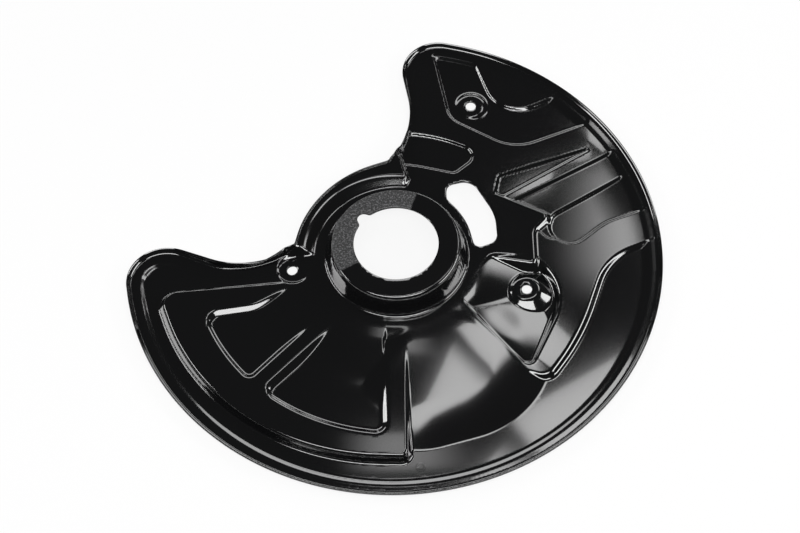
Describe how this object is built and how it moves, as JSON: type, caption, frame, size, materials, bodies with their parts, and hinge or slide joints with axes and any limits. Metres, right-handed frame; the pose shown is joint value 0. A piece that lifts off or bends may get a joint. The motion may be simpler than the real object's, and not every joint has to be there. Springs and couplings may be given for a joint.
{
  "type": "brake dust shield",
  "caption": "Pressed sheet-metal disc shield with a raised hub collar, stiffening panels, upturned rim and a wide gap for a caliper.",
  "frame": {"origin": "centre of the hub bore, on the face of the hub seat", "axes": "+Z along the hub bore away from the sheet, towards the side with the upturned rim; the caliper gap faces -X +Y"},
  "size_m": [0.3295, 0.3267, 0.0233],
  "materials": {
    "black_coating": "gloss black dip coating"
  },
  "bodies": {
    "root": {"dust_shield": "black_coating"}
  },
  "joints": []
}
